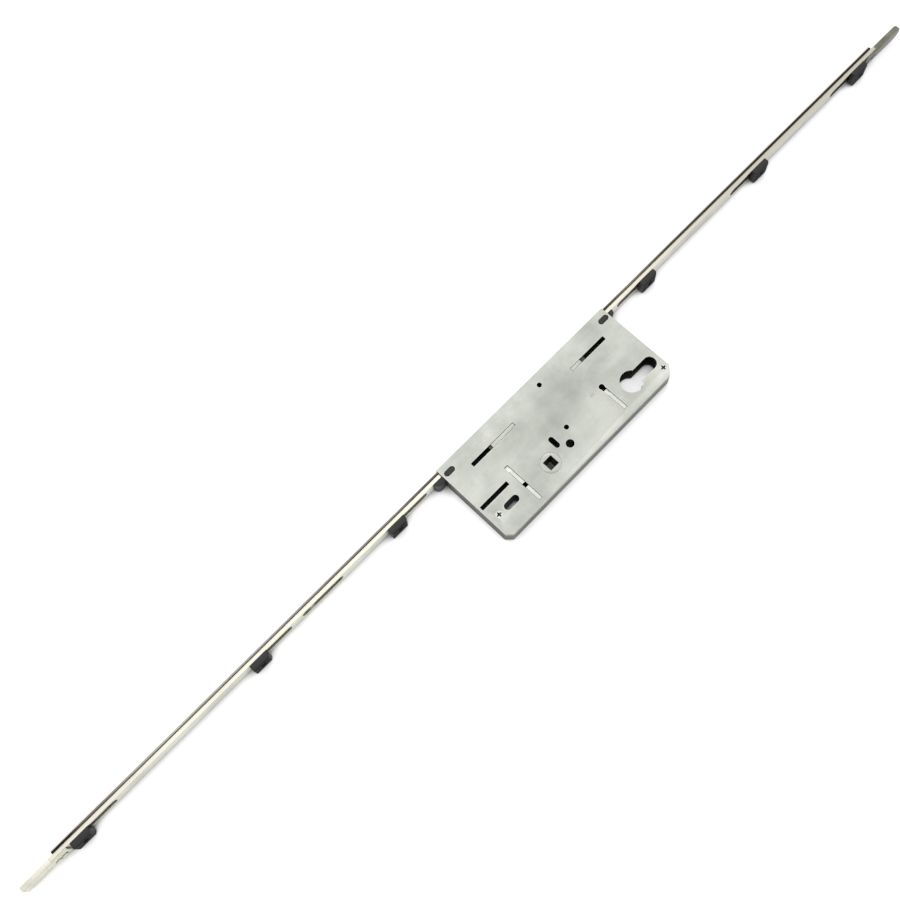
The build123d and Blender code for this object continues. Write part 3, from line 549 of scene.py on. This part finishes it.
softenedNodes = {
    "case_cover": {
        "body": "case", "slot": "cover_steel", "finish": "zincCoverSheet", "softness": 0.3,
    },
    "case_tray": {
        "body": "case", "slot": "case_steel", "finish": "zincTraySheet", "softness": 0.3,
    },
    "case_pillars": {
        "body": "case", "slot": "screw_steel", "finish": "coldHeadedSteel", "softness": 0.2,
    },
    "pinion_post": {
        "body": "case", "slot": "screw_steel", "finish": "coldHeadedSteel", "softness": 0.2,
    },
    "spring_post": {
        "body": "case", "slot": "screw_steel", "finish": "coldHeadedSteel", "softness": 0.2,
    },
    "faceplate": {
        "body": "case", "slot": "faceplate_steel", "finish": "satinFaceplateSteel", "softness": 0.15,
    },
    "top_end_guide": {
        "body": "case", "slot": "black_nylon", "finish": "shadedGuideNylon", "softness": 0.35,
    },
    "bottom_end_guide": {
        "body": "case", "slot": "black_nylon", "finish": "shadedGuideNylon", "softness": 0.35,
    },
    "friction_pad": {
        "body": "case", "slot": "black_nylon", "finish": "shadedGuideNylon", "softness": 0.2,
    },
    "top_drive_rod": {
        "body": "top_rod", "slot": "rod_steel", "finish": "paleZincRodStrip", "softness": 0.18,
    },
    "bottom_drive_rod": {
        "body": "bottom_rod", "slot": "rod_steel", "finish": "paleZincRodStrip", "softness": 0.18,
    },
    "top_shootbolt": {
        "body": "top_rod", "slot": "bolt_zinc", "finish": "castZincPale", "softness": 0.35,
    },
    "bottom_shootbolt": {
        "body": "bottom_rod", "slot": "bolt_zinc", "finish": "shadedCastZinc", "softness": 0.35,
    },
    "top_shootbolt_rivets": {
        "body": "top_rod", "slot": "bolt_zinc", "finish": "castZincPale", "softness": 0.3,
    },
    "bottom_shootbolt_rivets": {
        "body": "bottom_rod", "slot": "bolt_zinc", "finish": "shadedCastZinc", "softness": 0.3,
    },
    "spindle_follower": {
        "body": "spindle", "slot": "gear_steel", "finish": "sinteredGearSteel", "softness": 0.2,
    },
    "bottom_rack": {
        "body": "bottom_rod", "slot": "gear_steel", "finish": "sinteredGearSteel", "softness": 0.15,
    },
    "top_rack": {
        "body": "top_rod", "slot": "gear_steel", "finish": "sinteredGearSteel", "softness": 0.15,
    },
    "reversing_pinion": {
        "body": "pinion", "slot": "gear_steel", "finish": "sinteredGearSteel", "softness": 0.12,
    },
    "lock_plate": {
        "body": "lock", "slot": "lock_steel", "finish": "zincLockPressing", "softness": 0.2,
    },
}


# weld and flat clear the solid's triangles away before the edges over sharp are rounded
softening = {"weld": 0.002, "flat": math.radians(0.5), "sharp": math.radians(32), "segments": 2}


def softenNode(node, settings):
    source = nodes[node].data
    shape = bmesh.new()
    shape.from_mesh(source)
    bmesh.ops.remove_doubles(shape, verts=shape.verts, dist=softening["weld"] * mm)
    bmesh.ops.dissolve_limit(shape, angle_limit=softening["flat"], verts=shape.verts, edges=shape.edges)
    mesh = bpy.data.meshes.new(node + "_softened")
    shape.to_mesh(mesh)
    shape.free()
    mesh.polygons.foreach_set("use_smooth", np.ones(len(mesh.polygons), bool))
    mesh.set_sharp_from_angle(angle=softening["sharp"])
    piece = addPiece(node + "_softened", mesh, {**settings, "node": node})
    rounding = piece.modifiers.new("roundedEdges", "BEVEL")
    rounding.width = settings["softness"] * mm
    rounding.segments = softening["segments"]
    rounding.limit_method = "ANGLE"
    rounding.angle_limit = softening["sharp"]
    rounding.use_clamp_overlap = False
    rounding.harden_normals = True


for node, settings in softenedNodes.items():
    softenNode(node, settings)
print("edges softened on", len(softenedNodes), "pieces")


# Surfaces worked out on a grid of rows and columns

gridding = {"weld": 0.001, "sharp": math.radians(38)}


def gridPiece(name, shells, settings):
    # each shell is rows x columns x 3 in mm, its columns closed on themselves, its rows where it says so
    shape = bmesh.new()
    for points, closedRows in shells:
        rows, columns = points.shape[:2]
        upper = np.arange(rows if closedRows else rows - 1)[:, None]
        left = np.arange(columns)[None, :]
        right = (left + 1) % columns
        lower = (upper + 1) % rows
        top, bottom = upper * columns, lower * columns
        quads = np.stack([top + left, top + right, bottom + right, bottom + left], axis=-1).reshape(-1, 4)
        part = bpy.data.meshes.new("shell")
        part.from_pydata((points.reshape(-1, 3) * mm).tolist(), [], quads.tolist())
        shape.from_mesh(part)
        bpy.data.meshes.remove(part)
    bmesh.ops.remove_doubles(shape, verts=shape.verts, dist=gridding["weld"] * mm)
    bmesh.ops.recalc_face_normals(shape, faces=shape.faces)
    mesh = bpy.data.meshes.new(name)
    shape.to_mesh(mesh)
    shape.free()
    mesh.polygons.foreach_set("use_smooth", np.ones(len(mesh.polygons), bool))
    mesh.set_sharp_from_angle(angle=gridding["sharp"])
    addPiece(name, mesh, settings)


# Clips: a moulded block behind the rod, its neck through the slot, two pegs in the faceplate;
# back to faceplateFront are places along Y, cut is the chamfer of the back's ends along X

clipLook = {
    "body": "case", "slot": "black_nylon", "finish": "mouldedClipNylon",
    "half": (7.75, 6.4), "corner": 0.8, "leastCorner": 0.05, "cut": 1.8, "round": 0.35,
    "back": 44.3, "front": 49.3, "faceplateBack": 52.5, "faceplateFront": 55.0,
    "hole": 2.25, "flare": 0.2, "neck": (7.0, 3.4), "peg": 1.22, "pegPlace": 4.7, "pegFoot": 0.3,
    "columns": 160, "roundRows": 5, "pegColumns": 32, "pegRows": 7,
    "places": {
        "top_clip_1": -106.3, "top_clip_2": -238.0, "top_clip_3": -397.2,
        "bottom_clip_1": 156.6, "bottom_clip_2": 285.6, "bottom_clip_3": 405.7,
    },
}


def roundedOutline(halfX, halfZ, corner, angles):
    # where a ray at each angle leaves a rectangle with round corners: |p - core| = corner, by 40 halvings
    direction = np.stack([np.cos(angles), np.sin(angles)], axis=-1)
    low = np.zeros(len(angles))
    high = np.full(len(angles), halfX + halfZ)
    core = np.array([halfX - corner, halfZ - corner])
    for _ in range(40):
        middle = (low + high) / 2
        beyond = np.maximum(np.abs(direction * middle[:, None]) - core, 0)
        outside = np.hypot(beyond[:, 0], beyond[:, 1]) > corner
        high = np.where(outside, middle, high)
        low = np.where(outside, low, middle)
    return direction * low[:, None]


def clipShells(look, x):
    # one section, swept round the fixing hole: hole, back with its chamfer, sides, front, neck, hole;
    # a block row goes in by s (1 - sin q) and back by s (1 - cos q) at the edges rounded by s
    angles = np.linspace(0, 2 * np.pi, look["columns"], endpoint=False)
    halfX, halfZ = look["half"]
    neckX, neckZ = look["neck"]
    chamferX = halfX - look["cut"]
    back, front, soft = look["back"], look["front"], look["round"]

    def row(outline, y):
        return np.stack([outline[:, 0] + x, np.zeros(len(angles)) + y, outline[:, 1]], axis=-1)

    def circle(radius):
        return roundedOutline(radius, radius, radius, angles)

    def block(inset):
        corner = max(look["corner"] - inset, look["leastCorner"])
        return roundedOutline(halfX - inset, halfZ - inset, corner, angles)

    inner = block(soft)
    inner[:, 0] = np.minimum(inner[:, 0], chamferX)
    hole = circle(look["hole"])
    flared = circle(look["hole"] + look["flare"])
    rows = [row(hole, back + look["flare"]), row(flared, back), row(inner, back)]
    quarter = np.linspace(0, np.pi / 2, look["roundRows"])
    for q in quarter:
        outline = block(soft * (1 - math.sin(q)))
        rows.append(row(outline, back + soft * (1 - math.cos(q)) + np.maximum(outline[:, 0] - chamferX, 0)))
    for q in quarter:
        rows.append(row(block(soft * (1 - math.cos(q))), front - soft + soft * math.sin(q)))
    neck = roundedOutline(neckX, neckZ, neckZ - 0.01, angles)  # a full round would leave the core no width
    rows += [row(neck, front), row(neck, look["faceplateBack"]), row(hole, look["faceplateBack"])]
    pegs = [(pegShell(look, x + side * look["pegPlace"]), False) for side in (-1, 1)]
    return [(np.stack(rows), True)] + pegs


def pegShell(look, x):
    # a round peg along Y whose end is a low dome: radius r cos(q), height r / 4 sin(q)
    around = np.linspace(0, 2 * np.pi, look["pegColumns"], endpoint=False)
    rise = np.linspace(0, np.pi / 2, look["pegRows"])
    radius = np.concatenate([[0, look["peg"]], look["peg"] * np.cos(rise)])
    height = np.concatenate([
        [look["faceplateBack"] - look["pegFoot"]] * 2,
        look["faceplateFront"] - look["peg"] / 4 * (1 - np.sin(rise)),
    ])
    across = radius[:, None] * np.cos(around)
    return np.stack([across + x, height[:, None] + 0 * around, radius[:, None] * np.sin(around)], axis=-1)


for node, x in clipLook["places"].items():
    gridPiece(node + "_moulded", clipShells(clipLook, x), {**clipLook, "node": node})
print("clips moulded")


# Countersunk screws: a head with a cross recess, a cone, and a rolled thread that ends in a point;
# recess is the reach of a wing, its half width and its depth

screwLooks = {
    "faceplate_screws": {
        "body": "case", "slot": "screw_steel", "finish": "coldHeadedSteel",
        "places": [(-57.2, 55.0, 0), (111.0, 55.0, 0)], "axis": (0, 1, 0),
        "radius": 1.9, "head": 3.6, "length": 9.8, "pitch": 1.3, "threadDepth": 0.45,
        "recess": (1.9, 0.38, 1.1),
    },
    "cover_screws": {
        "body": "case", "slot": "screw_steel", "finish": "coldHeadedCoverScrew",
        "places": [(-52.4, 0.2, 8.0), (108.6, -9.4, 8.0)], "axis": (0, 0, 1),
        "radius": 1.5, "head": 2.8, "length": 9.0, "pitch": 0.6, "threadDepth": 0.25,
        "recess": (1.9, 0.5, 1.2),
    },
}


# what both kinds share: mm, shares or counts
screwCuts = {
    "columns": 96, "recessRows": 22, "rimRows": 5, "threadRows": 110,
    "rim": 0.08, "clearOfWing": (0.3, 0.5),
    "wingTaper": (1.25, 0.5), "wallAcross": 0.16, "wallAtEnd": 0.35, "floorRise": 0.35,
    "neckLength": 0.2, "threadStart": 0.9, "threadRise": 0.8, "threadEnd": 0.9,
    "pointRadius": (0.75, 0.45, 0.0), "pointHeight": (0.5, 0.2, 0.0),
}


def smoothStep(value):
    # 3 v ** 2 - 2 v ** 3 between 0 and 1, level on either side
    part = np.clip(value, 0, 1)
    return part * part * (3 - 2 * part)


def screwShell(look, place, cuts):
    # rows go from the head's middle to its rim, down the cone, along the thread and in to the point;
    # the recess sinks the head by depth where a point lies in either wing of the cross, and the thread's
    # radius is r - t (1 - |2 w - 1|), where w is the share of a turn: height / pitch + angle / 2 pi
    around = np.linspace(0, 2 * np.pi, cuts["columns"], endpoint=False)
    reach, wing, depth = look["recess"]
    nearWing, pastWing = cuts["clearOfWing"]
    headRadius = np.concatenate([
        np.linspace(0, reach + nearWing, cuts["recessRows"]),
        np.linspace(reach + pastWing, look["head"] - cuts["rim"], cuts["rimRows"]),
    ])
    u = headRadius[:, None] * np.cos(around)
    v = headRadius[:, None] * np.sin(around)

    def bar(across, along):
        width = wing * (cuts["wingTaper"][0] - cuts["wingTaper"][1] * np.abs(along) / reach)
        inWidth = smoothStep((width - np.abs(across)) / cuts["wallAcross"] + 0.5)
        return inWidth * smoothStep((reach - np.abs(along)) / cuts["wallAtEnd"] + 0.5)

    floorShape = 1 - cuts["floorRise"] * headRadius[:, None] / reach
    head = -depth * np.maximum(bar(u, v), bar(v, u)) * floorShape
    coneDepth = look["head"] - look["radius"]
    coneRadius = np.array([look["head"], look["head"], look["radius"]])
    coneDown = np.array([-cuts["rim"], -2 * cuts["rim"], -coneDepth])
    threadEnd = -look["length"] + cuts["threadEnd"]
    down = np.linspace(-coneDepth - cuts["neckLength"], threadEnd, cuts["threadRows"])
    turns = down[:, None] / look["pitch"] + around / (2 * np.pi)
    groove = np.abs(2 * (turns % 1) - 1)
    started = smoothStep((-coneDepth - cuts["threadStart"] - down[:, None]) / cuts["threadRise"])
    thread = look["radius"] - look["threadDepth"] * (1 - groove) * started
    endRadius = np.array(cuts["pointRadius"]) * look["radius"]
    endDown = -look["length"] + np.array(cuts["pointHeight"])
    radius = np.concatenate([
        np.repeat(headRadius[:, None], len(around), 1), np.repeat(coneRadius[:, None], len(around), 1),
        thread, np.repeat(endRadius[:, None], len(around), 1),
    ])
    height = np.concatenate([
        head, np.repeat(coneDown[:, None], len(around), 1),
        np.repeat(down[:, None], len(around), 1), np.repeat(endDown[:, None], len(around), 1),
    ])
    axis = np.array(look["axis"], float)
    side = np.array([1.0, 0, 0])
    other = np.cross(axis, side)
    return (
        np.array(place) + (radius * np.cos(around))[..., None] * side
        + (radius * np.sin(around))[..., None] * other + height[..., None] * axis
    )


for node, look in screwLooks.items():
    shells = [(screwShell(look, place, screwCuts), False) for place in look["places"]]
    gridPiece(node + "_threaded", shells, {**look, "node": node})
print("screws made")


# Friction spring: round wire wound about Y, its ends closed by half balls

springLook = {
    "body": "case", "slot": "spring_steel", "finish": "drawnSpringWire", "node": "friction_spring",
    "middle": (57.7, 0.0), "from": 16.38, "to": 22.64, "coil": 1.85, "wire": 0.35, "turns": 4,
    "rows": 240, "columns": 16, "ballRows": 5,
}


def springShell(look):
    # the wire's middle is (x + c cos t, y0 + p t, c sin t); each ring stands across it, in the directions
    # of the coil's radius and of radius x run
    start = look["from"] + look["wire"]
    rise = look["to"] - look["wire"] - start
    share = np.linspace(0, 1, look["rows"])
    angle = 2 * np.pi * look["turns"] * share
    outward = np.stack([np.cos(angle), 0 * angle, np.sin(angle)], axis=-1)
    middle = outward * look["coil"] + np.array([look["middle"][0], start, look["middle"][1]])
    middle[:, 1] += rise * share
    run = np.gradient(middle, axis=0)
    run /= np.linalg.norm(run, axis=1)[:, None]
    across = np.cross(run, outward)
    around = np.linspace(0, 2 * np.pi, look["columns"], endpoint=False)
    ball = np.linspace(0, np.pi / 2, look["ballRows"] + 1)[:-1]
    radius = look["wire"] * np.concatenate([np.sin(ball), np.ones(len(share)), np.sin(ball)[::-1]])
    shift = look["wire"] * np.concatenate([-np.cos(ball), np.zeros(len(share)), np.cos(ball)[::-1]])
    # each ball's rings stand at the wire's first or last middle
    pick = np.clip(np.arange(-len(ball), len(share) + len(ball)), 0, len(share) - 1)
    centre = middle[pick] + run[pick] * shift[:, None]
    ring = (
        np.cos(around)[None, :, None] * outward[pick][:, None]
        + np.sin(around)[None, :, None] * across[pick][:, None]
    )
    return centre[:, None] + radius[:, None, None] * ring


gridPiece("friction_spring_wound", [(springShell(springLook), False)], springLook)
print("spring wound")


# Floor, lamps and sky

studio = {
    "floorColour": "#e3e3e3", "floorGlow": 0.7, "floorSize": 6.0,
    "foot": {"reach": 10, "dark": 0.25, "clear": 0.7}, "cover": {"reach": 25, "dark": 0.16, "clear": 0.42},
    "skyShown": 1.0, "skyLight": 0.55,
    "keyPlace": (0.1, 1.2, 1.2), "keySize": 1.8, "keyPower": 12.0,
}


def seenDirectly(tree):
    # 1 for camera, glossy and transmission rays, else 0
    path = addNode(tree, "LightPath")
    first = addNode(tree, "Math", {
        0: path.outputs["Is Camera Ray"], 1: path.outputs["Is Glossy Ray"],
    }, operation="MAXIMUM")
    return addNode(tree, "Math", {
        0: first.outputs["Value"], 1: path.outputs["Is Transmission Ray"],
    }, operation="MAXIMUM")


def makeFloor(look, level):
    half = look["floorSize"] / 2
    corners = [(-half, -half, level), (half, -half, level), (half, half, level), (-half, half, level)]
    mesh = bpy.data.meshes.new("studioFloor")
    mesh.from_pydata(corners, [], [(0, 1, 2, 3)])
    material, tree = startMaterial("paleStudioFloor")
    # matt background paper that looks white to the camera and keeps the object's shadow
    matt = addNode(tree, "BsdfDiffuse", {"Color": linear(look["floorColour"])})
    seen = seenDirectly(tree)
    # the glow fades at the foot of walls, within foot's reach, and under narrow openings, within cover's
    near, far = look["foot"], look["cover"]
    foot = addNode(tree, "AmbientOcclusion", {"Distance": near["reach"] * mm}, samples=16)
    free = addNode(tree, "MapRange", {
        "Value": foot.outputs["AO"], "From Min": near["dark"], "From Max": near["clear"],
        "To Max": look["floorGlow"],
    })
    cover = addNode(tree, "AmbientOcclusion", {"Distance": far["reach"] * mm}, samples=16)
    uncovered = addNode(tree, "MapRange", {
        "Value": cover.outputs["AO"], "From Min": far["dark"], "From Max": far["clear"],
    })
    spread = addNode(tree, "Math", {
        0: free.outputs["Result"], 1: uncovered.outputs["Result"],
    }, operation="MULTIPLY")
    glow = addNode(tree, "Math", {
        0: seen.outputs["Value"], 1: spread.outputs["Value"],
    }, operation="MULTIPLY")
    light = addNode(tree, "Emission", {"Strength": glow.outputs["Value"]})
    both = addNode(tree, "AddShader", {0: matt.outputs["BSDF"], 1: light.outputs["Emission"]})
    addNode(tree, "OutputMaterial", {"Surface": both.outputs["Shader"]})
    mesh.materials.append(material)
    floor = bpy.data.objects.new("studioFloor", mesh)
    bpy.context.scene.collection.objects.link(floor)


def makeLight(look):
    world = bpy.data.worlds.new("studioSky")
    world.use_nodes = True
    world.node_tree.nodes.clear()
    tree = world.node_tree
    seen = seenDirectly(tree)
    strength = addNode(tree, "MapRange", {
        "Value": seen.outputs["Value"], "To Min": look["skyLight"], "To Max": look["skyShown"],
    })
    sky = addNode(tree, "Background", {"Color": (1, 1, 1, 1), "Strength": strength.outputs["Result"]})
    addNode(tree, "OutputWorld", {"Surface": sky.outputs["Background"]})
    bpy.context.scene.world = world
    data = bpy.data.lights.new("softKey", "AREA")
    data.energy = look["keyPower"]
    data.size = look["keySize"]
    key = bpy.data.objects.new("softKey", data)
    bpy.context.scene.collection.objects.link(key)
    key.location = look["keyPlace"]
    key.rotation_euler = Vector(look["keyPlace"]).to_track_quat("Z", "Y").to_euler()


makeFloor(studio, cadBox[0][2])
makeLight(studio)
bpy.context.scene.view_settings.view_transform = "Standard"
print("studio ready")
